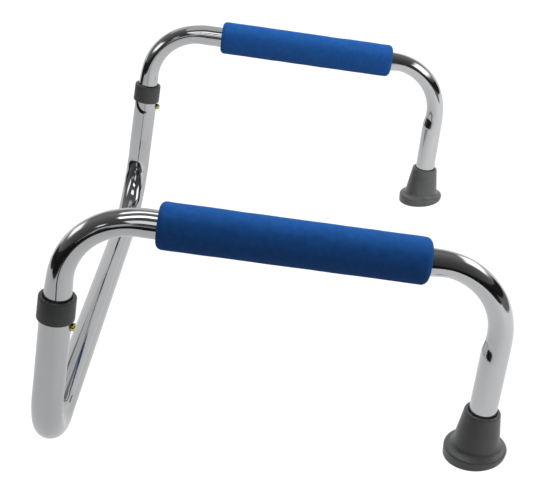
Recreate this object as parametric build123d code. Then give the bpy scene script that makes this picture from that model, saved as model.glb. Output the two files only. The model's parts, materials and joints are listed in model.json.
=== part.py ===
from build123d import *
import os
from math import cos, radians, sin, tan

# Standing-aid frame: a U-shaped base tube, and two handle tubes that plug into its uprights.
# Millimetres and degrees. +Z is up, +X points from the crossbar to the rubber feet.
# The origin is on the floor, under the middle of the whole frame's box.

# Layout of the side view
handle_spacing = 503.0      # between the centrelines of the two handles
upright_lean = 14.0         # uprights lean back from the vertical, towards the crossbar
bar_slope = 11.8            # hand bars slope down towards the feet
leg_lean = 9.5              # front legs lean back from the vertical
upright_length = 226.0      # crossbar centreline to the hand bar's rear corner point
bar_length = 333.5          # rear corner point to front corner point of a hand bar
bend_radius = 58.0          # centreline radius of the four handle bends
base_corner_radius = 67.5   # centreline radius of the two bends of the base tube

# Tubes
base_tube_radius = 12.7
base_tube_wall = 1.3
handle_tube_radius = 11.1
handle_tube_wall = 1.2
mouth_drop = {"right": 74.0, "left": 71.0}   # rear corner point down to the base tube's mouth
insert_length = 77.0        # of the handle tube, inside the base tube

# Collars that cap the mouths of the uprights
collar_radius = 15.0
collar_height = 20.0
collar_lip = 3.0            # thickness of the lip over the mouth
collar_hole_radius = 11.6
collar_rounding = 1.2
seat_clearance = 0.05       # between pieces that are pushed onto each other

# Foam grips
grip_radius = 18.0
grip_rounding = 4.0
grip_start = {"right": 68.0, "left": 77.0}   # rear corner point to the grip's rear end
grip_length = {"right": 203.0, "left": 197.0}

# Snap buttons
button_depth = 22.8         # mouth down the upright to the button's axis
button_radius = 3.3
button_reach = 17.0         # upright's axis to the button's tip
button_dome = 1.5           # rounding of the button's tip
handle_hole_clearance = 0.08
base_hole_clearance = 0.4
rivet_radius = 1.6
rivet_head_radius = 2.8
rivet_head_height = 0.8

# Button springs: a strip bent to a V, inside the handle tube
spring_thickness = 0.8
spring_width = 7.0
spring_offset = 8.5         # tube's axis to the middle of an arm
spring_top = 8.0            # button's axis to the upper end of both arms
spring_straight = 8.0       # button's axis down to where the arms start to close in
spring_bend_drop = 34.0     # button's axis down to the centre of the bend
spring_bend_radius = 4.0

# Rubber feet
foot_height = 41.8          # along the leg, from the floor to the foot's upper rim
foot_rim_radius = 14.4
foot_cone_radius = 19.6     # the cone's radius at the floor, inside the flange
foot_rim_rounding = 1.2
foot_mouth_radius = 11.6    # the socket widens to this at the rim
foot_mouth_depth = 1.5
flange_radius = 25.4
flange_thickness = 9.0      # at the sole's centre
flange_tilt = 5.0           # the flange's top leans this much with the leg, the sole is level
flange_rounding = 3.5
flange_fillet = 3.0         # between the cone and the flange
sole_rounding = 1.0
leg_end_height = 9.5        # along the leg, from the floor to the end of the handle tube
washer_thickness = 2.0
washer_radius = 10.5
tread_radii = (9.0, 17.0)   # round grooves in the sole
tread_width = 2.4
tread_depth = 1.4

sides = {"right": -1, "left": 1}

across = Vector(0, 1, 0)
upright_dir = Vector(sin(radians(upright_lean)), 0, cos(radians(upright_lean)))
button_dir = Vector(cos(radians(upright_lean)), 0, -sin(radians(upright_lean)))
bar_dir = Vector(cos(radians(bar_slope)), 0, -sin(radians(bar_slope)))
under_bar_dir = Vector(-sin(radians(bar_slope)), 0, -cos(radians(bar_slope)))
up_leg_dir = Vector(sin(radians(leg_lean)), 0, cos(radians(leg_lean)))
flange_dir = Vector(sin(radians(flange_tilt)), 0, cos(radians(flange_tilt)))

from_base = (Align.CENTER, Align.CENTER, Align.MIN)
to_top = (Align.CENTER, Align.CENTER, Align.MAX)

# Corner points of a handle, with the crossbar's centreline at X 0
crossbar_start = Vector(0, 0, base_tube_radius)
rear_corner_start = crossbar_start + upright_dir * upright_length
front_corner_start = rear_corner_start + bar_dir * bar_length

# The frame's box runs from the back of the crossbar to the outside of the front bends
front_bend_turn = 90 - bar_slope + leg_lean
front_tangent = bend_radius * tan(radians(front_bend_turn / 2))
front_bend_centre = front_corner_start - bar_dir * front_tangent + under_bar_dir * bend_radius
box_back = -base_tube_radius
box_front = front_bend_centre.X + bend_radius + handle_tube_radius
centring = Vector(-(box_back + box_front) / 2, 0, 0)

# The same points in the frame's own axes
crossbar_point = crossbar_start + centring
rear_corner = rear_corner_start + centring
front_corner = front_corner_start + centring
sole_point = front_corner - up_leg_dir * (front_corner.Z / up_leg_dir.Z)


def in_side(point, side):
    """Move a point from the middle plane to one handle's plane."""
    return point + across * (sides[side] * handle_spacing / 2)


def down_upright(distance):
    """A point on the upright's axis, at a distance below the rear corner point."""
    return rear_corner - upright_dir * distance


def up_leg(distance):
    """A point on the front leg's axis, at a distance above the sole."""
    return sole_point + up_leg_dir * distance


def bent_tube(points, corner_radius, radius, wall):
    """A round tube with an even wall along a path with round corners."""
    path = FilletPolyline(*points, radius=corner_radius)
    section = Plane(origin=path @ 0, z_dir=path % 0)
    outside = sweep(section * Circle(radius), path=path)
    inside = sweep(section * Circle(radius - wall), path=path)
    return outside - inside


def button_plane(side):
    """Origin on the upright's axis at the button, Z out through the button, X up the upright."""
    origin = in_side(down_upright(mouth_drop[side] + button_depth), side)
    return Plane(origin=origin, x_dir=upright_dir, z_dir=button_dir)


def button_hole(side, radius):
    """Cutter for the button's hole in the front wall of a tube."""
    return button_plane(side) * Cylinder(radius, button_reach, align=from_base)


def base_frame():
    """The bent base tube: two uprights joined by the crossbar on the floor."""
    points = [
        in_side(down_upright(mouth_drop["right"]), "right"),
        in_side(crossbar_point, "right"),
        in_side(crossbar_point, "left"),
        in_side(down_upright(mouth_drop["left"]), "left"),
    ]
    tube = bent_tube(points, base_corner_radius, base_tube_radius, base_tube_wall)
    for side in sides:
        tube -= button_hole(side, button_radius + base_hole_clearance)
    return tube


def handle_tube(side):
    """One handle: insert, rear bend, hand bar, front bend and front leg."""
    points = [
        in_side(down_upright(mouth_drop[side] + insert_length), side),
        in_side(rear_corner, side),
        in_side(front_corner, side),
        in_side(up_leg(leg_end_height), side),
    ]
    tube = bent_tube(points, bend_radius, handle_tube_radius, handle_tube_wall)
    return tube - button_hole(side, button_radius + handle_hole_clearance)


def tube_collar(side):
    """A cap ring on the mouth of an upright, with a lip round the handle tube."""
    origin = in_side(down_upright(mouth_drop[side] - collar_lip), side)
    down_from_lip = Plane(origin=origin, x_dir=across, z_dir=-upright_dir)
    ring = Cylinder(collar_radius, collar_height, align=from_base)
    ring = fillet(ring.edges().filter_by(GeomType.CIRCLE), collar_rounding)
    ring -= Cylinder(collar_hole_radius, collar_lip, align=from_base)
    seat = Cylinder(base_tube_radius + seat_clearance, collar_height, align=from_base)
    ring -= Pos(0, 0, collar_lip - seat_clearance) * seat
    return down_from_lip * ring


def foam_grip(side):
    """A foam sleeve with rounded ends on the hand bar."""
    origin = in_side(rear_corner + bar_dir * grip_start[side], side)
    length = grip_length[side]
    sleeve = Cylinder(grip_radius, length, align=from_base)
    sleeve = fillet(sleeve.edges().filter_by(GeomType.CIRCLE), grip_rounding)
    sleeve -= Cylinder(handle_tube_radius + seat_clearance, length, align=from_base)
    return Plane(origin=origin, x_dir=across, z_dir=bar_dir) * sleeve


def snap_button(side):
    """A domed brass button, with a rivet through the front arm of its spring."""
    shoulder = spring_offset + spring_thickness / 2 + seat_clearance
    head_top = spring_offset - spring_thickness / 2 - seat_clearance
    shank = Pos(0, 0, shoulder) * Cylinder(button_radius, button_reach - shoulder, align=from_base)
    shank = fillet(shank.edges().sort_by(Axis.Z)[-1:], button_dome)
    rivet = Pos(0, 0, head_top) * Cylinder(rivet_radius, shoulder - head_top, align=from_base)
    head = Pos(0, 0, head_top) * Cylinder(rivet_head_radius, rivet_head_height, align=to_top)
    return button_plane(side) * (shank + rivet + head)


def button_spring(side):
    """A strip of spring steel bent to a V, with the button riveted to its front arm."""
    front_arm = Polyline(
        (spring_top, spring_offset),
        (-spring_straight, spring_offset),
        (-spring_bend_drop, spring_bend_radius),
    )
    bend = ThreePointArc(
        (-spring_bend_drop, spring_bend_radius),
        (-spring_bend_drop - spring_bend_radius, 0),
        (-spring_bend_drop, -spring_bend_radius),
    )
    rear_arm = Polyline(
        (-spring_bend_drop, -spring_bend_radius),
        (-spring_straight, -spring_offset),
        (spring_top, -spring_offset),
    )
    # Drawn in the side view: X up the upright, Y out towards the button
    side_view = Plane(
        origin=button_plane(side).origin, x_dir=upright_dir, z_dir=upright_dir.cross(button_dir)
    )
    strip_face = trace([front_arm, bend, rear_arm], spring_thickness)
    strip = extrude(side_view * strip_face, amount=spring_width / 2, both=True)
    return strip - button_hole(side, rivet_radius + seat_clearance)


def rubber_foot(side):
    """A ferrule pushed onto the front leg: a cone that flares to a flange with a level sole."""
    on_leg = Plane(origin=in_side(sole_point, side), x_dir=across, z_dir=up_leg_dir)
    on_flange = Plane(origin=in_side(sole_point, side), x_dir=across, z_dir=flange_dir)
    cone = Cone(foot_cone_radius, foot_rim_radius, foot_height, align=from_base)
    cone = fillet(cone.edges().sort_by(Axis.Z)[-1:], foot_rim_rounding)
    flange = Cylinder(flange_radius, 2 * flange_thickness)
    flange = fillet(flange.edges().sort_by(Axis.Z)[-1:], flange_rounding)
    foot = on_leg * cone + on_flange * flange
    foot = fillet(foot.edges().filter_by(GeomType.ELLIPSE), flange_fillet)
    floor_point = in_side(Vector(sole_point.X, 0, 0), side)
    on_floor = Plane(origin=floor_point)
    below_floor = Box(4 * flange_radius, 4 * flange_radius, 4 * flange_thickness, align=to_top)
    foot -= on_floor * below_floor
    rim = foot.faces().sort_by(Axis.Z)[0].edges()
    foot = fillet(rim, sole_rounding)
    for radius in tread_radii:
        outer = Cylinder(radius + tread_width / 2, tread_depth, align=from_base)
        groove = outer - Cylinder(radius - tread_width / 2, tread_depth, align=from_base)
        foot -= on_floor * groove
    socket_radius = handle_tube_radius + seat_clearance
    socket_floor = leg_end_height - washer_thickness - seat_clearance
    socket = Pos(0, 0, socket_floor) * Cylinder(socket_radius, foot_height, align=from_base)
    mouth = Cone(socket_radius, foot_mouth_radius, foot_mouth_depth, align=from_base)
    return foot - on_leg * socket - on_leg * (Pos(0, 0, foot_height - foot_mouth_depth) * mouth)


def foot_washer(side):
    """A steel disc in the foot, under the end of the leg, that stops the tube cutting through."""
    plane = Plane(origin=in_side(up_leg(leg_end_height), side), x_dir=across, z_dir=up_leg_dir)
    disc_top = Pos(0, 0, -seat_clearance / 2)
    return plane * (disc_top * Cylinder(washer_radius, washer_thickness, align=to_top))


one_side_pieces = {
    "handle_tube": handle_tube,
    "foam_grip": foam_grip,
    "tube_collar": tube_collar,
    "snap_button": snap_button,
    "button_spring": button_spring,
    "rubber_foot": rubber_foot,
    "foot_washer": foot_washer,
}

os.makedirs("parts", exist_ok=True)
export_step(base_frame(), "parts/base_frame.step")
for side_name in sides:
    for piece_name, make_piece in one_side_pieces.items():
        export_step(make_piece(side_name), f"parts/{side_name}_{piece_name}.step")
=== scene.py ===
import json
from collections import namedtuple
from math import acos, cos, pi, radians, sin, tan

import bpy
from mathutils import Matrix, Vector, noise


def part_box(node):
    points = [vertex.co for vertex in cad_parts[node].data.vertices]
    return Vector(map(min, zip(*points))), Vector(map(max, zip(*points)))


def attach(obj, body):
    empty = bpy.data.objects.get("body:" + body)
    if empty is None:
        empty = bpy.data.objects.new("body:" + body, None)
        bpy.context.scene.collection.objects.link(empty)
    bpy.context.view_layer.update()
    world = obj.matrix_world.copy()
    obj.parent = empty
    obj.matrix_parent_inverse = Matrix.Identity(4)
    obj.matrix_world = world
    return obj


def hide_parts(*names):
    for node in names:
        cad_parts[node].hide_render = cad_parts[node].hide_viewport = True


# Looks of the standing-aid frame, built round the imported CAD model.
# Metres. +Z is up, +X points from the crossbar to the rubber feet, +Y is the left side.
mm = 0.001

# Layout of the side view, the same as the CAD model's
handle_spacing = 503.0 * mm             # between the centrelines of the two handles
upright_lean = radians(14.0)            # uprights lean back from the vertical
bar_slope = radians(11.8)               # hand bars slope down towards the feet
leg_lean = radians(9.5)                 # front legs lean back from the vertical
upright_length = 226.0 * mm             # crossbar centreline to the hand bar's rear corner point
bar_length = 333.5 * mm                 # rear corner point to front corner point of a hand bar
bend_radius = 58.0 * mm                 # centreline radius of the four handle bends
base_corner_radius = 67.5 * mm          # centreline radius of the two bends of the base tube

# Tubes
base_tube_radius = 12.7 * mm
base_tube_wall = 1.3 * mm
handle_tube_radius = 11.1 * mm
handle_tube_wall = 1.2 * mm
tube_lip = 0.35 * mm                    # chamfer round the tubes' ends
mouth_drop = {"right": 74.0 * mm, "left": 71.0 * mm}    # rear corner point to the upright's mouth
insert_length = 77.0 * mm               # of the handle tube, inside the base tube
push_fit = 0.05 * mm                    # between pieces that are pushed onto each other

# Collars, with finer roundings than the CAD model's
collar_radius = 15.0 * mm
collar_height = 20.0 * mm
collar_lip = 3.0 * mm                   # thickness of the lip over the mouth
collar_hole_radius = 11.6 * mm
collar_hole_rounding = 0.5 * mm
collar_top_inset = 0.2 * mm             # the top is this much narrower than the lower edge
collar_top_rounding = 1.3 * mm
collar_edge_rounding = 1.0 * mm         # outside, round the lower edge
collar_seat_rounding = 0.3 * mm         # inside, round the lower edge
collar_seat_start = 1.0 * mm            # below the lip

# Foam grips
grip_radius = 18.0 * mm
grip_span = {"right": (68.0 * mm, 271.0 * mm), "left": (77.0 * mm, 274.0 * mm)}
grip_rounding = 5.0 * mm
grip_bore_rounding = 1.2 * mm
grip_lumps = ((60, 0.25 * mm), (220, 0.08 * mm))        # how many to a metre, and how high
grip_even_depth = 1.0 * mm              # no lumps nearer to the bore than this
grip_full_depth = 3.0 * mm              # lumps of full height from this far outside the bore

# Snap buttons and their holes
button_depth = 22.8 * mm                # mouth down the upright to the button's axis
button_radius = 3.3 * mm
button_base = 9.0 * mm                  # upright's axis to the button's inner end
button_reach = 17.0 * mm                # upright's axis to the button's tip
button_dome = 2.2 * mm                  # height of the domed tip
base_hole_clearance = 0.4 * mm
handle_hole_clearance = 0.08 * mm

# Rubber feet. The cone is 0.8 mm wider at the floor than the CAD model's, which has a smaller fillet.
foot_height = 41.8 * mm                 # along the leg, from the floor to the foot's upper rim
foot_rim_radius = 14.4 * mm
foot_rim_rounding = 1.9 * mm
foot_mouth_flare = 0.3 * mm             # the socket is this much wider at the rim
foot_mouth_rounding = 1.0 * mm
foot_cone_radius = 20.4 * mm            # the cone's radius at the floor, inside the flange
flange_radius = 25.4 * mm
flange_thickness = 9.0 * mm             # at the sole's centre
flange_tilt = radians(5.0)              # the flange's top leans this much with the leg
flange_fillet = 4.5 * mm                # between the cone and the flange
flange_slope = 1.2 * mm                 # how far the flange's top falls to its edge
flange_rounding = 2.4 * mm
sole_inset = 0.3 * mm                   # the sole is this much narrower than the flange
sole_rounding = 1.0 * mm
sole_middle = 0.05 * mm                 # radius of the smallest ring of the sole
tread_radii = (17.0 * mm, 9.0 * mm)     # round grooves in the sole
tread_half_width = 1.2 * mm
tread_depth = 1.4 * mm
tread_rounding = 0.2 * mm
leg_end_height = 9.5 * mm               # along the leg, from the floor to the handle tube's end
washer_gap = 2.1 * mm                   # the tube's end to the socket's floor, for the washer
socket_floor_inset = 0.2 * mm
socket_straight_start = 4.0 * mm        # above the socket's floor

# Heights over which the foot's sections turn from square to the leg to the flange's tilt, and to level
flange_turn = (flange_thickness + 6.0 * mm, flange_thickness - 1.0 * mm)
outer_level_turn = (flange_thickness - 2.5 * mm, 1.5 * mm)
socket_level_turn = (4.0 * mm, 1.5 * mm)
foot_outer_margin = 1.0 * mm            # sections this much wider than the socket are outer ones

# The shapes that a tube bender leaves. inner and outer are how far these sides of a bend sink in, and
# bulge is how far its flanks come out. An _in pair is for the change at the bend's start, and an _out
# pair for the change back to round at its end: how far before that place it begins, and how far past
# it it's complete. lag is how much later the inner side comes back to round on the flanks.
base_squeeze = {
    "inner": 0.3 * mm,
    "outer": 0.3 * mm,
    "bulge": 0.3 * mm,
    "lag": 0.0,
    "inner_in": (12 * mm, 4 * mm),
    "inner_out": (4 * mm, 12 * mm),
    "outer_in": (6 * mm, 14 * mm),
    "outer_out": (14 * mm, 6 * mm),
}
rear_squeeze = {
    "inner": 0.5 * mm,
    "outer": 1.3 * mm,
    "bulge": 0.3 * mm,
    "lag": 0.0,
    "inner_in": (18 * mm, 4 * mm),
    "inner_out": (14 * mm, 6 * mm),
    "outer_in": (18 * mm, 10 * mm),
    "outer_out": (14 * mm, 6 * mm),
}
front_squeeze = {
    "outer": 0.9 * mm,
    "bulge": 0.3 * mm,
    "inner_in": (10 * mm, 14 * mm),
    "outer_in": (30 * mm, 14 * mm),
    "outer_out": (14 * mm, 10 * mm),
}
# How deep the front bends' inner sides are, and how they come back to round on the legs
front_recovery = {
    "right": {"inner": 1.65 * mm, "inner_out": (-1 * mm, 13 * mm), "lag": 11.0 * mm},
    "left": {"inner": 1.9 * mm, "inner_out": (-1 * mm, 14 * mm), "lag": 5.0 * mm},
}
# The marks of clamps on the inner side of the base tube, near its ends. sink and rise are distances
# from the nearer end, and curve is how far these move towards the end on the flanks.
Dent = namedtuple("Dent", "depth sink rise curve")
clamp_dents = (
    Dent(0.55 * mm, sink=(-2 * mm, -1 * mm), rise=(26 * mm, 31 * mm), curve=26 * mm),
    Dent(1.5 * mm, sink=(62 * mm, 78 * mm), rise=(92 * mm, 108 * mm), curve=-14 * mm),
)
# A mark on an inner side has its full depth up to the first angle from the middle, none at the second
inner_side_edge = (radians(45), radians(105))

# Fineness of the meshes
tube_segments = 72
grip_segments = 96
grip_sections = 40
button_segments = 48
dome_steps = 12
hole_segments = 40
corner_steps = 6
bend_step = 1.5 * mm
ramp_step = 0.7 * mm                    # where a tube's shape changes
ramp_reach = 34.0 * mm                  # before and after a bend
dent_reach = 110.0 * mm                 # from an end of a dented tube
least_step = 0.2 * ramp_step
sharp_angle = radians(35)
on_axis = 0.02 * mm                     # smallest radius of a turned piece
length_tolerance = 1e-9
noise_span = (0.3, 0.7)                 # where nearly all values of Blender's noise lie

sides = {"right": -1, "left": 1}
across = Vector((0, 1, 0))
upright_dir = Vector((sin(upright_lean), 0, cos(upright_lean)))
button_dir = Vector((cos(upright_lean), 0, -sin(upright_lean)))
bar_dir = Vector((cos(bar_slope), 0, -sin(bar_slope)))
up_leg_dir = Vector((sin(leg_lean), 0, cos(leg_lean)))
flange_dir = Vector((sin(flange_tilt), 0, cos(flange_tilt)))
up_dir = Vector((0, 0, 1))

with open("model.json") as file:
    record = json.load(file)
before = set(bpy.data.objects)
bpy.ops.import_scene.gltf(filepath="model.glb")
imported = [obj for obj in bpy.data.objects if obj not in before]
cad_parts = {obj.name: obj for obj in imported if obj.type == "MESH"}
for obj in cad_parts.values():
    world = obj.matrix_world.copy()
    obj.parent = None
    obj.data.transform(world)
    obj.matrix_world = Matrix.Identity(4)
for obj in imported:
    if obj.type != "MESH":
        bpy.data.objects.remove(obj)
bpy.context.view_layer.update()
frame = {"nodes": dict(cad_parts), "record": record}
nodes = frame["nodes"]

base_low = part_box("base_frame")[0]
crossbar_point = Vector((base_low.x + base_tube_radius, 0, base_tube_radius))
rear_corner = crossbar_point + upright_dir * upright_length
front_corner = rear_corner + bar_dir * bar_length
sole_point = front_corner - up_leg_dir * (front_corner.z / up_leg_dir.z)


def in_side(point, side):
    """Move a point from the middle plane to one handle's plane."""
    return point + across * (sides[side] * handle_spacing / 2)


def down_upright(distance):
    """A point on the upright's axis, at a distance below the rear corner point."""
    return rear_corner - upright_dir * distance


def button_origin(side):
    """The point on the upright's axis that the snap button's axis goes through."""
    return in_side(down_upright(mouth_drop[side] + button_depth), side)


# ---------------------------------------------------------------- mesh tools
def smoothstep(start, end, value):
    """A smooth rise from 0 at start to 1 at end, which may also lie below start."""
    share = min(max((value - start) / (end - start), 0.0), 1.0)
    return share * share * (3 - 2 * share)


def slope(start, end, value, easing=0.2):
    """An even slope from 0 to 1 that starts and ends softly."""
    share = min(max((value - start) / (end - start), 0.0), 1.0)
    mirrored = min(share, 1 - share)
    if mirrored < easing:
        height = mirrored * mirrored / (2 * easing * (1 - easing))
    else:
        height = (mirrored - easing / 2) / (1 - easing)
    return height if share <= 0.5 else 1 - height


def mesh_object(name, vertices, faces, material):
    mesh = bpy.data.meshes.new(name)
    mesh.from_pydata([tuple(v) for v in vertices], [], faces)
    mesh.validate()
    mesh.polygons.foreach_set("use_smooth", [True] * len(mesh.polygons))
    mesh.materials.append(material)
    mesh.update()
    piece = bpy.data.objects.new(name, mesh)
    bpy.context.scene.collection.objects.link(piece)
    return piece


def skin(rings, closed_loop=False):
    """Quads between rings of equal length, given as lists of points."""
    count = len(rings[0])
    vertices = [point for ring in rings for point in ring]
    faces = []
    ring_pairs = len(rings) if closed_loop else len(rings) - 1
    for i in range(ring_pairs):
        a = i * count
        b = ((i + 1) % len(rings)) * count
        for j in range(count):
            k = (j + 1) % count
            faces.append((a + j, a + k, b + k, b + j))
    return vertices, faces


def circle(centre, normal, radius, segments):
    """Points of a circle, the first one towards the left side."""
    u = (across - normal * across.dot(normal)).normalized()
    v = normal.cross(u)
    return [
        centre + (u * cos(2 * pi * i / segments) + v * sin(2 * pi * i / segments)) * radius
        for i in range(segments)
    ]


def round_corners(profile):
    """Replaces each (radius, height, rounding) corner of a profile by a fillet's points."""
    points = []
    last = len(profile) - 1
    for i, (r, z, rounding) in enumerate(profile):
        if rounding == 0 or i in (0, last):
            points.append((r, z))
            continue
        corner = Vector((r, z))
        before = (Vector(profile[i - 1][:2]) - corner).normalized()
        after = (Vector(profile[i + 1][:2]) - corner).normalized()
        half = acos(max(-1.0, min(1.0, before.dot(after)))) / 2
        reach = rounding / tan(half)
        centre = corner + (before + after).normalized() * (rounding / sin(half))
        start = corner + before * reach
        end = corner + after * reach
        for step in range(corner_steps + 1):
            chord = start.lerp(end, step / corner_steps)
            points.append(tuple(centre + (chord - centre).normalized() * rounding))
    return points


def turned_skin(profile, origin, axis, segments):
    """The vertices and faces of a closed (radius, height) profile turned round an axis."""
    rings = [circle(origin + axis * z, axis, r, segments) for r, z in profile]
    return skin(rings, closed_loop=True)


# ---------------------------------------------------------------- bent tubes
# A straight run of a path, with turn 0, or a bend. first is the distance along the path where it starts,
# start and into are the point and the direction there, and inward points to the bend's centre.
Run = namedtuple("Run", "first length start into turn inward")


def bent_path(points, radius):
    """The straight runs and bends of a path with round corners, and its length."""
    runs = []
    start = points[0]
    reached = 0.0
    for before, corner, after in zip(points, points[1:], points[2:]):
        into = (corner - before).normalized()
        out = (after - corner).normalized()
        turn = into.angle(out)
        tangent = radius * tan(turn / 2)
        bend_start = corner - into * tangent
        length = (bend_start - start).length
        runs.append(Run(reached, length, start, into, 0.0, None))
        reached += length
        inward = (out - into * out.dot(into)).normalized()
        runs.append(Run(reached, radius * turn, bend_start, into, turn, inward))
        reached += radius * turn
        start = corner + out * tangent
    into = (points[-1] - start).normalized()
    length = (points[-1] - start).length
    runs.append(Run(reached, length, start, into, 0.0, None))
    return runs, reached + length


def on_path(runs, radius, station):
    """Point and direction of a path at a distance along it."""
    reached = [run for run in runs if station <= run.first + run.length + length_tolerance]
    run = reached[0] if reached else runs[-1]
    along = station - run.first
    if not run.turn:
        return run.start + run.into * along, run.into
    angle = along / radius
    point = run.start + run.into * (radius * sin(angle)) + run.inward * (radius * (1 - cos(angle)))
    return point, run.into * cos(angle) + run.inward * sin(angle)


def tube_stations(bends, length, dents):
    """Where a tube's rings are along it: closer together where its shape changes."""
    stations = {0.0, length}
    for bend in bends:
        last = bend.first + bend.length
        steps = round(bend.length / bend_step)
        stations.update(bend.first + bend.length * i / steps for i in range(steps + 1))
        for i in range(round(ramp_reach / ramp_step)):
            stations.update((bend.first - i * ramp_step, last + i * ramp_step))
    if dents:
        for i in range(round(dent_reach / ramp_step)):
            stations.update((i * ramp_step, length - i * ramp_step))
    stations = sorted(s for s in stations if 0 <= s <= length)
    kept = [stations[0]]
    for station in stations[1:]:
        if station - kept[-1] > least_step:
            kept.append(station)
    return kept


def inner_share(angle):
    """How much of a mark on the inner side is left at an angle from the outer side."""
    return 1 - smoothstep(*inner_side_edge, abs(pi - angle))


def bend_weight(change, bend, come, go, station, lag=0.0):
    """How much of a bend's squeeze there is at a station."""
    last = bend.first + bend.length + lag
    begun = change(bend.first - come[0], bend.first + come[1], station)
    ended = change(last - go[0], last + go[1], station)
    return begun * (1 - ended)


def bend_offset(bend, squeeze, station, angle):
    """How far a bend's surface lies outside (+) or inside (-) the round tube."""
    outer_share = max(cos(angle), 0.0) ** 2
    flank_share = sin(angle) ** 2
    lag = squeeze["lag"] * abs(pi - angle) / (pi / 2)
    outer = bend_weight(smoothstep, bend, squeeze["outer_in"], squeeze["outer_out"], station)
    inner = bend_weight(slope, bend, squeeze["inner_in"], squeeze["inner_out"], station, lag)
    sunk = squeeze["inner"] * inner_share(angle) * inner + squeeze["outer"] * outer_share * outer
    return squeeze["bulge"] * flank_share * outer - sunk


def dent_offset(dent, from_end, angle):
    """How far a clamp's mark lies inside (-) the round tube."""
    along = from_end + dent.curve * (1 + cos(angle))
    mark = slope(*dent.sink, along) * (1 - slope(*dent.rise, along))
    return -dent.depth * inner_share(angle) * mark


def tube(name, points, radius, outside, wall, plane_normal, squeezes, material, dents=()):
    """A bent round tube that is squeezed in its bends, with chamfered ends.

    points are the path's corner points, radius is the bends' and outside is the tube's. squeezes has
    a dictionary for each bend, and dents are the marks of clamps near the tube's ends.
    """
    runs, length = bent_path(points, radius)
    bends = [run for run in runs if run.turn]

    def ring(station, shrink):
        point, direction = on_path(runs, radius, station)
        outward = plane_normal.cross(direction)
        from_end = min(station, length - station)
        ring_points = []
        for i in range(tube_segments):
            angle = 2 * pi * i / tube_segments
            reach = outside - shrink
            reach += sum(bend_offset(*pair, station, angle) for pair in zip(bends, squeezes))
            reach += sum(dent_offset(dent, from_end, angle) for dent in dents)
            spoke = outward * cos(angle) + plane_normal * sin(angle)
            ring_points.append(point + spoke * reach)
        return ring_points

    stations = tube_stations(bends, length, dents)
    outline = [(0.0, wall), (0.0, wall - tube_lip), (0.0, tube_lip), (tube_lip, 0.0)]
    outline += [(s, 0.0) for s in stations if tube_lip < s < length - tube_lip]
    outline += [(length - tube_lip, 0.0), (length, tube_lip), (length, wall - tube_lip)]
    outline += [(s, wall) for s in reversed(stations[1:])]
    vertices, faces = skin([ring(*place) for place in outline], closed_loop=True)
    piece = mesh_object(name, vertices, faces, material)
    piece.data.set_sharp_from_angle(angle=sharp_angle)
    return piece


def cut_button_hole(piece, side, clearance):
    """The snap button's round hole through the wall on one side of a tube."""
    origin = button_origin(side)
    radius = button_radius + clearance
    ends = (origin, origin + button_dir * button_reach)
    vertices, faces = skin([circle(end, button_dir, radius, hole_segments) for end in ends])
    faces.append(tuple(reversed(range(hole_segments))))
    faces.append(tuple(range(hole_segments, 2 * hole_segments)))
    drill = mesh_object("drill", vertices, faces, piece.data.materials[0])
    cut = piece.modifiers.new("hole", "BOOLEAN")
    cut.object = drill
    cut.operation = "DIFFERENCE"
    cut.solver = "EXACT"
    depsgraph = bpy.context.evaluated_depsgraph_get()
    mesh = bpy.data.meshes.new_from_object(piece.evaluated_get(depsgraph))
    piece.modifiers.clear()
    piece.data = mesh
    mesh.polygons.foreach_set("use_smooth", [True] * len(mesh.polygons))
    mesh.set_sharp_from_angle(angle=sharp_angle)
    bpy.data.objects.remove(drill)


# ---------------------------------------------------------------- materials
def new_material(name, color, roughness, metallic=0.0):
    """A material with one linear colour and roughness, which textures may vary."""
    material = bpy.data.materials.new(name)
    material.use_nodes = True
    tree = material.node_tree
    shader = tree.nodes["Principled BSDF"]
    shader.inputs["Base Color"].default_value = (*color, 1)
    shader.inputs["Roughness"].default_value = roughness
    shader.inputs["Metallic"].default_value = metallic
    return material, tree, shader


def add_node(tree, kind, inputs=None, **settings):
    """A node with its settings, and with numbers or links on its inputs."""
    node = tree.nodes.new(kind)
    for key, value in settings.items():
        setattr(node, key, value)
    for key, value in (inputs or {}).items():
        if isinstance(value, bpy.types.NodeSocket):
            tree.links.new(value, node.inputs[key])
        else:
            node.inputs[key].default_value = value
    return node


def calculate(tree, operation, *values):
    return add_node(tree, "ShaderNodeMath", dict(enumerate(values)), operation=operation).outputs[0]


def map_range(tree, value, low, high, from_low, from_high, **settings):
    """A value's range from from_low to from_high becomes low to high."""
    inputs = {"Value": value, "From Min": from_low, "From Max": from_high, "To Min": low, "To Max": high}
    return add_node(tree, "ShaderNodeMapRange", inputs, **settings).outputs[0]


def coordinates(tree, kind):
    return add_node(tree, "ShaderNodeTexCoord").outputs[kind]


def noise_texture(tree, size, detail, stretch=(1, 1, 1)):
    """Noise with blobs of about that size in metres, in the piece's own axes."""
    placed = {"Vector": coordinates(tree, "Object"), "Scale": stretch}
    mapping = add_node(tree, "ShaderNodeMapping", placed)
    inputs = {"Vector": mapping.outputs[0], "Scale": 1 / size, "Detail": detail}
    return add_node(tree, "ShaderNodeTexNoise", inputs).outputs["Fac"]


def from_noise(tree, pattern, low, high):
    """Noise that wanders between two values."""
    return map_range(tree, pattern, low, high, *noise_span)


def vary_roughness(tree, shader, pattern, low, high):
    tree.links.new(from_noise(tree, pattern, low, high), shader.inputs["Roughness"])


def mottle(tree, shader, pattern, dark, light):
    """The base colour wanders between two colours."""
    inputs = {0: from_noise(tree, pattern, 0.0, 1.0), 6: (*dark, 1), 7: (*light, 1)}
    mix = add_node(tree, "ShaderNodeMix", inputs, data_type="RGBA")
    tree.links.new(mix.outputs[2], shader.inputs["Base Color"])


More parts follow.
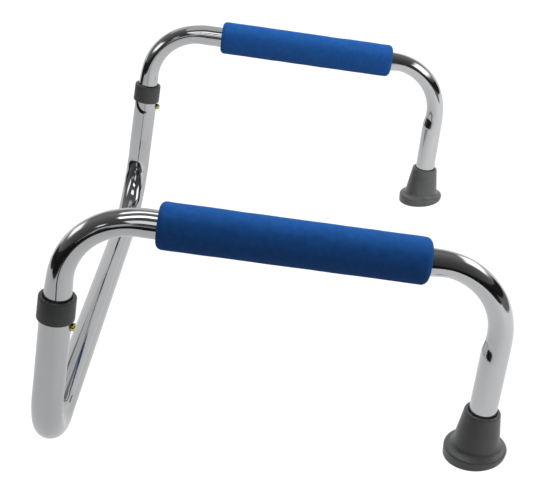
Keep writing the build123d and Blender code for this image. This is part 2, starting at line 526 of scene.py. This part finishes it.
def add_bump(tree, shader, pattern, distance, strength, below=None):
    """Unevenness on a shader, on top of another bump's."""
    inputs = {"Height": pattern, "Distance": distance, "Strength": strength}
    if below is not None:
        inputs["Normal"] = below
    normal = add_node(tree, "ShaderNodeBump", inputs).outputs[0]
    tree.links.new(normal, shader.inputs["Normal"])
    return normal


def chrome():
    color = (0.5, 0.505, 0.515)
    material, tree, shader = new_material("chrome", color, roughness=0.07, metallic=1.0)
    haze = noise_texture(tree, size=9 * mm, detail=4.0)
    vary_roughness(tree, shader, haze, low=0.05, high=0.11)
    waves = noise_texture(tree, size=14 * mm, detail=1.0)
    wavy = add_bump(tree, shader, waves, distance=0.05 * mm, strength=0.5)
    grain = noise_texture(tree, size=0.6 * mm, detail=2.0)
    add_bump(tree, shader, grain, distance=0.002 * mm, strength=0.3, below=wavy)
    return material


def foam():
    """Closed-cell foam, with a little sheen."""
    material, tree, shader = new_material("blue_foam", (0.017, 0.112, 0.40), roughness=0.95)
    clouds = noise_texture(tree, size=5 * mm, detail=5.0)
    mottle(tree, shader, clouds, dark=(0.014, 0.100, 0.37), light=(0.019, 0.122, 0.43))
    shader.inputs["Specular IOR Level"].default_value = 0.12
    shader.inputs["Sheen Weight"].default_value = 0.05
    shader.inputs["Sheen Roughness"].default_value = 0.5
    shader.inputs["Sheen Tint"].default_value = (0.35, 0.6, 1.0, 1)
    cell_size = 0.9 * mm
    placed = {"Vector": coordinates(tree, "Object"), "Scale": 1 / cell_size}
    cells = add_node(tree, "ShaderNodeTexVoronoi", placed).outputs["Distance"]
    pores = add_bump(tree, shader, cells, distance=0.12 * mm, strength=0.35)
    dimples = noise_texture(tree, size=3 * mm, detail=4.0)
    add_bump(tree, shader, dimples, distance=0.15 * mm, strength=0.3, below=pores)
    return material


def collar_plastic():
    material, tree, shader = new_material("collar_plastic", (0.062, 0.066, 0.065), roughness=0.45)
    clouds = noise_texture(tree, size=6 * mm, detail=4.0)
    vary_roughness(tree, shader, clouds, low=0.38, high=0.52)
    grain = noise_texture(tree, size=0.5 * mm, detail=2.0)
    add_bump(tree, shader, grain, distance=0.02 * mm, strength=0.4)
    return material


def rubber():
    material, tree, shader = new_material("foot_rubber", (0.104, 0.109, 0.106), roughness=0.5)
    scuffs = noise_texture(tree, size=7 * mm, detail=6.0)
    mottle(tree, shader, scuffs, dark=(0.096, 0.101, 0.098), light=(0.122, 0.127, 0.123))
    vary_roughness(tree, shader, scuffs, low=0.30, high=0.42)
    grain = noise_texture(tree, size=0.7 * mm, detail=3.0)
    add_bump(tree, shader, grain, distance=0.03 * mm, strength=0.5)
    return material


def metal(name, color, roughness, spread=0.3):
    """A plain metal with fine streaks, whose roughness is up to a share higher or lower."""
    material, tree, shader = new_material(name, color, roughness, metallic=1.0)
    streaks = noise_texture(tree, size=1.2 * mm, detail=3.0, stretch=(1, 1, 6))
    low = roughness * (1 - spread)
    high = roughness * (1 + spread)
    vary_roughness(tree, shader, streaks, low, high)
    return material


slots = {
    "chrome_tube": chrome(),
    "blue_foam": foam(),
    "collar_plastic": collar_plastic(),
    "button_brass": metal("button_brass", (0.60, 0.56, 0.22), roughness=0.14),
    "spring_steel": metal("spring_steel", (0.40, 0.41, 0.43), roughness=0.35),
    "foot_rubber": rubber(),
    "washer_steel": metal("washer_steel", (0.55, 0.56, 0.58), roughness=0.4),
}
for part in frame["record"]["subparts"]:
    node = nodes[part["node"]]
    node.data.materials.clear()
    node.data.materials.append(slots[part["material_slot"]])


def settle(piece, body, node):
    """The piece stands for a CAD node, and moves with its body."""
    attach(piece, body)
    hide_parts(node)


# ---------------------------------------------------------------- the frame's pieces
def base():
    """The base tube, from the right upright's mouth to the left one's."""
    piece = tube(
        "base_tube",
        points=[
            in_side(down_upright(mouth_drop["right"]), "right"),
            in_side(crossbar_point, "right"),
            in_side(crossbar_point, "left"),
            in_side(down_upright(mouth_drop["left"]), "left"),
        ],
        radius=base_corner_radius,
        outside=base_tube_radius,
        wall=base_tube_wall,
        plane_normal=-button_dir,
        squeezes=[base_squeeze, base_squeeze],
        material=slots["chrome_tube"],
        dents=clamp_dents,
    )
    for side in sides:
        cut_button_hole(piece, side, base_hole_clearance)
    settle(piece, "base", "base_frame")


def handle(side):
    """A handle tube, from the end of its insert to the end of its leg."""
    piece = tube(
        f"{side}_handle",
        points=[
            in_side(down_upright(mouth_drop[side] + insert_length), side),
            in_side(rear_corner, side),
            in_side(front_corner, side),
            in_side(sole_point + up_leg_dir * leg_end_height, side),
        ],
        radius=bend_radius,
        outside=handle_tube_radius,
        wall=handle_tube_wall,
        plane_normal=-across,
        squeezes=[rear_squeeze, {**front_squeeze, **front_recovery[side]}],
        material=slots["chrome_tube"],
    )
    cut_button_hole(piece, side, handle_hole_clearance)
    settle(piece, f"{side}_handle", f"{side}_handle_tube")


def grip(side):
    """A foam sleeve with soft ends that isn't quite round."""
    start, end = grip_span[side]
    length = end - start
    origin = in_side(rear_corner + bar_dir * start, side)
    bore = handle_tube_radius + push_fit
    bore_middle = (bore, length * 0.5, 0)
    profile = [
        bore_middle,
        (bore, 0, grip_bore_rounding),
        (grip_radius, 0, grip_rounding),
        *[(grip_radius, length * i / grip_sections, 0) for i in range(2, grip_sections - 1)],
        (grip_radius, length, grip_rounding),
        (bore, length, grip_bore_rounding),
        bore_middle,
    ]
    vertices, faces = turned_skin(round_corners(profile)[:-1], origin, bar_dir, grip_segments)
    for i, vertex in enumerate(vertices):
        offset = vertex - origin
        spoke = offset - bar_dir * offset.dot(bar_dir)
        depth = spoke.length - bore
        if depth > grip_even_depth:
            lumps = sum(noise.noise(vertex * density) * height for density, height in grip_lumps)
            vertices[i] = vertex + spoke.normalized() * lumps * min(1.0, depth / grip_full_depth)
    piece = mesh_object(f"{side}_grip", vertices, faces, slots["blue_foam"])
    settle(piece, f"{side}_handle", f"{side}_foam_grip")


def collar(side):
    """A cap over the upright's mouth. Heights go down from the top of its lip."""
    origin = in_side(down_upright(mouth_drop[side] - collar_lip), side)
    seat = base_tube_radius + push_fit
    profile = [
        (seat, collar_lip, 0),
        (collar_hole_radius, collar_lip, 0),
        (collar_hole_radius, 0, collar_hole_rounding),
        (collar_radius - collar_top_inset, 0, collar_top_rounding),
        (collar_radius, collar_height, collar_edge_rounding),
        (seat, collar_height, collar_seat_rounding),
        (seat, collar_lip + collar_seat_start, 0),
    ]
    skinned = turned_skin(round_corners(profile), origin, -upright_dir, tube_segments)
    piece = mesh_object(f"{side}_collar", *skinned, slots["collar_plastic"])
    settle(piece, "base", f"{side}_tube_collar")


def button(side):
    """A brass snap button with a domed tip. The CAD model's hidden rivet is left out."""
    profile = [(on_axis, button_base), (button_radius, button_base)]
    for i in range(dome_steps + 1):
        angle = pi / 2 * i / dome_steps
        height = button_reach - button_dome + button_dome * sin(angle)
        profile.append((max(button_radius * cos(angle), on_axis), height))
    skinned = turned_skin(profile, button_origin(side), button_dir, button_segments)
    piece = mesh_object(f"{side}_button", *skinned, slots["button_brass"])
    settle(piece, f"{side}_button", f"{side}_snap_button")


def foot_profile(socket, socket_floor):
    """The (radius, height, rounding) corners of a foot: socket, rim, cone, flange and grooved sole."""
    cone_slope = (foot_rim_radius - foot_cone_radius) / foot_height
    corners = [
        (socket, socket_floor + socket_straight_start, 0),
        (socket + foot_mouth_flare, foot_height, foot_mouth_rounding),
        (foot_rim_radius, foot_height, foot_rim_rounding),
        (foot_cone_radius + cone_slope * flange_thickness, flange_thickness, flange_fillet),
        (flange_radius, flange_thickness - flange_slope, flange_rounding),
        (flange_radius - sole_inset, 0, sole_rounding),
    ]
    groove = (
        (tread_half_width, 0),
        (tread_half_width, tread_depth),
        (-tread_half_width, tread_depth),
        (-tread_half_width, 0),
    )
    for radius in tread_radii:
        corners += [(radius + outward, height, tread_rounding) for outward, height in groove]
    corners += [
        (sole_middle, 0, 0),
        (sole_middle, socket_floor, 0),
        (socket - socket_floor_inset, socket_floor, 0),
    ]
    return corners


def foot(side):
    """A rubber ferrule. Its upper sections stand square to the leg, and its sole is level."""
    base_point = in_side(sole_point, side)
    socket = handle_tube_radius + push_fit
    socket_floor = leg_end_height - washer_gap
    rings = []
    for r, height in round_corners(foot_profile(socket, socket_floor)):
        outer = r > socket + foot_outer_margin
        to_flange = smoothstep(*flange_turn, height) if outer else 0.0
        level_turn = outer_level_turn if outer else socket_level_turn
        to_level = smoothstep(*level_turn, height)
        axis = up_leg_dir.lerp(flange_dir, to_flange).normalized()
        normal = axis.lerp(up_dir, to_level).normalized()
        rings.append(circle(base_point + up_leg_dir * max(height, 0.0), normal, r, tube_segments))
    vertices, faces = skin(rings, closed_loop=True)
    piece = mesh_object(f"{side}_foot", vertices, faces, slots["foot_rubber"])
    settle(piece, f"{side}_handle", f"{side}_rubber_foot")


base()
for side in sides:
    handle(side)
    grip(side)
    collar(side)
    button(side)
    foot(side)


# ---------------------------------------------------------------- stage
# Bright and dark cards: name, middle, size, direction they face, strength, soft edge of each axis
panels = (
    ("top_light_a", (-0.05, -0.063, 0.60), (0.32, 0.17), (0, 0, -1), 2.2, (0.08, 0.20)),
    ("top_light_b", (-0.05, -0.351, 0.60), (0.32, 0.15), (0, 0, -1), 3.0, (0.08, 0.20)),
    ("top_light_c", (-0.05, -0.960, 0.60), (0.32, 0.74), (0, 0, -1), 1.25, (0.12, 0.16)),
    ("top_light_d", (-0.05, 0.600, 0.60), (0.32, 0.96), (0, 0, -1), 0.68, (0.10, 0.10)),
    ("top_light_e", (-0.30, 0.75, 0.60), (0.26, 0.66), (0, 0, -1), 0.68, (0.10, 0.10)),
    ("left_light", (-0.560, 0.00, 0.48), (0.66, 0.28), (1, 0, -0.3), 2.0, (0.35, 0.35)),
    ("right_light", (0.56, 0.10, 0.42), (0.72, 0.36), (-1, 0, -0.3), 2.3, (0.20, 0.30)),
    ("front_lamp", (-0.73, -1.20, 0.95), (0.26, 0.26), (0.40, 0.85, -0.50), 1.5, (0.25, 0.25)),
    ("front_wall", (-0.45, -1.45, 0.40), (0.80, 0.46), (0, 1, 0), 0.62, (0.30, 0.20)),
    ("front_card", (0, -0.64, 0.10), (6, 0.20), (0, 1, 0), 0.012, (0.01, 0.02)),
    ("stand_card", (-0.19, -0.51, 0.12), (0.05, 0.26), (0, 1, 0), 0.02, (0.2, 0.05)),
    ("left_card", (-1.9, 0, 0.2), (6, 0.6), (1, 0, 0), 0.02, (0.01, 0.02)),
    ("right_card", (0.60, -0.22, 0.07), (0.80, 0.14), (-1, 0, 0), 0.20, (0.20, 0.20)),
    ("right_dark", (1.9, 0, 0.2), (6, 0.6), (-1, 0, 0), 0.02, (0.01, 0.02)),
    ("back_card", (0, 1.05, 0.29), (6, 0.86), (0, -1, 0), 0.82, (0.01, 0.10)),
)
# Soft lights: name, place, target, size, power
area_lights = (
    ("key_light", (0.1, 0.75, 1.6), (0, 0, 0.15), (1.6, 0.8), 23.0),
    ("side_light", (1.2, -0.3, 0.9), (0.1, 0, 0.15), (0.5, 0.8), 6.5),
    ("fill_light", (-0.02, -0.17, 0.12), (-0.02, 0.25, 0.2), (0.36, 0.12), 0.3),
    ("foot_light", (0.26, 0.10, 0.09), (0.18, 0.26, 0.02), (0.08, 0.08), 0.10),
)
floor_size = 60
floor_drop = 0.2 * mm                   # below the object's soles
floor_grey = 0.1
# The floor's glow in reflections is the sum of two ramps: from and to a level, from and to a place
floor_ramp_x = (0.0, 0.34, -0.15, 0.40)
floor_ramp_y = (0.60, 0.70, -0.6, 0.1)
# The studio's grey in reflections, from the front (0) to the back (1), and as light on the pieces
studio_greys = ((0.0, 0.05), (0.10, 0.07), (0.30, 0.11), (0.50, 0.16), (0.70, 0.25), (1.0, 0.22))
studio_light = 0.20
white = (1, 1, 1, 1)

# The camera, fitted to the photo
camera_place = Vector((0.069272, -0.968278, 0.553383))
camera_turn = radians(3.822)
camera_tilt = radians(-26.352)
camera_roll = radians(-4.561)
camera_sensor = 36.0                    # this and the lens are in Blender's own millimetres
camera_lens = 70.749
camera_clip = (0.01, 100.0)


def empty_tree(owner):
    """An owner's node tree, cleared."""
    owner.use_nodes = True
    owner.node_tree.nodes.clear()
    return owner.node_tree


def aim(thing, direction, axis):
    """Turns a thing's axis towards a direction."""
    thing.rotation_mode = "QUATERNION"
    thing.rotation_quaternion = direction.to_track_quat(axis, "Y")


def emission_panel(name, centre, size, normal, strength, soft):
    """A soft-edged bright rectangle that only shows in reflections."""
    bpy.ops.mesh.primitive_plane_add(size=1)
    panel = bpy.context.object
    panel.name = name
    panel.scale = (*size, 1)
    panel.location = centre
    aim(panel, Vector(normal), "Z")
    panel.visible_camera = False
    panel.visible_shadow = False
    panel.visible_diffuse = False
    material = bpy.data.materials.new(name)
    tree = empty_tree(material)
    split = add_node(tree, "ShaderNodeSeparateXYZ", {0: coordinates(tree, "Generated")})
    factors = []
    for axis, edge in zip("XY", soft):
        from_middle = calculate(tree, "SUBTRACT", split.outputs[axis], 0.5)
        distance = calculate(tree, "ABSOLUTE", from_middle)
        fade = map_range(tree, distance, 1.0, 0.0, 0.5 - edge, 0.5, interpolation_type="SMOOTHSTEP")
        factors.append(fade)
    cover = calculate(tree, "MULTIPLY", *factors)
    power = calculate(tree, "MULTIPLY", cover, strength)
    glow = add_node(tree, "ShaderNodeEmission", {"Strength": power})
    clear = add_node(tree, "ShaderNodeBsdfTransparent")
    mixed = {0: cover, 1: clear.outputs[0], 2: glow.outputs[0]}
    blend = add_node(tree, "ShaderNodeMixShader", mixed)
    add_node(tree, "ShaderNodeOutputMaterial", {"Surface": blend.outputs[0]})
    panel.data.materials.append(material)


def area_light(name, place, target, size, power):
    """A soft light that doesn't show in reflections."""
    data = bpy.data.lights.new(name, "AREA")
    data.shape = "RECTANGLE"
    data.size, data.size_y = size
    data.energy = power
    light = bpy.data.objects.new(name, data)
    light.location = place
    aim(light, Vector(target) - Vector(place), "-Z")
    light.visible_glossy = False
    light.visible_camera = False
    bpy.context.scene.collection.objects.link(light)


def white_to_camera(tree, level):
    """A brightness that is at least 1 for what the camera sees directly, and level for other rays."""
    path = add_node(tree, "ShaderNodeLightPath")
    return calculate(tree, "MAXIMUM", level, path.outputs["Is Camera Ray"])


def studio_floor():
    """A floor that is white to the camera, and has a glow of its own in reflections."""
    bpy.ops.mesh.primitive_plane_add(size=floor_size, location=(0, 0, -floor_drop))
    floor = bpy.context.object
    floor.name = "floor"
    material = bpy.data.materials.new("floor")
    tree = empty_tree(material)
    split = add_node(tree, "ShaderNodeSeparateXYZ", {0: coordinates(tree, "Object")})
    levels = []
    for axis, ramp in zip("XY", (floor_ramp_x, floor_ramp_y)):
        levels.append(map_range(tree, split.outputs[axis], *ramp))
    level = white_to_camera(tree, calculate(tree, "ADD", *levels))
    glow = add_node(tree, "ShaderNodeEmission", {"Color": white, "Strength": level})
    matte = add_node(tree, "ShaderNodeBsdfDiffuse", {"Color": (floor_grey, floor_grey, floor_grey, 1)})
    total = add_node(tree, "ShaderNodeAddShader", {0: glow.outputs[0], 1: matte.outputs[0]})
    add_node(tree, "ShaderNodeOutputMaterial", {"Surface": total.outputs[0]})
    floor.data.materials.append(material)
    floor.visible_diffuse = False


def studio_world():
    """Surroundings that are white to the camera, and shades of grey in reflections."""
    world = bpy.data.worlds.new("studio")
    bpy.context.scene.world = world
    tree = empty_tree(world)
    split = add_node(tree, "ShaderNodeSeparateXYZ", {0: coordinates(tree, "Generated")})
    place = map_range(tree, split.outputs["Y"], 0.0, 1.0, -1.0, 1.0)
    ramp = add_node(tree, "ShaderNodeValToRGB", {0: place})
    while len(ramp.color_ramp.elements) < len(studio_greys):
        ramp.color_ramp.elements.new(0.5)
    for element, (position, grey) in zip(ramp.color_ramp.elements, studio_greys):
        element.position = position
        element.color = (grey, grey, grey, 1)
    path = add_node(tree, "ShaderNodeLightPath")
    choice = {0: path.outputs["Is Diffuse Ray"], 2: ramp.outputs[0], 3: studio_light}
    reflected = add_node(tree, "ShaderNodeMix", choice, data_type="FLOAT")
    level = white_to_camera(tree, reflected.outputs[0])
    background = add_node(tree, "ShaderNodeBackground", {"Color": white, "Strength": level})
    add_node(tree, "ShaderNodeOutputWorld", {"Surface": background.outputs[0]})


def photo_camera():
    data = bpy.data.cameras.new("camera")
    data.sensor_width = camera_sensor
    data.lens = camera_lens
    data.clip_start, data.clip_end = camera_clip
    camera = bpy.data.objects.new("camera", data)
    camera.matrix_world = (
        Matrix.Translation(camera_place)
        @ Matrix.Rotation(camera_turn, 4, "Z")
        @ Matrix.Rotation(pi / 2 + camera_tilt, 4, "X")
        @ Matrix.Rotation(camera_roll, 4, "Z")
    )
    bpy.context.scene.collection.objects.link(camera)
    bpy.context.scene.camera = camera


for settings in panels:
    emission_panel(*settings)
for settings in area_lights:
    area_light(*settings)
studio_floor()
studio_world()
photo_camera()
bpy.context.scene.view_settings.view_transform = "Standard"
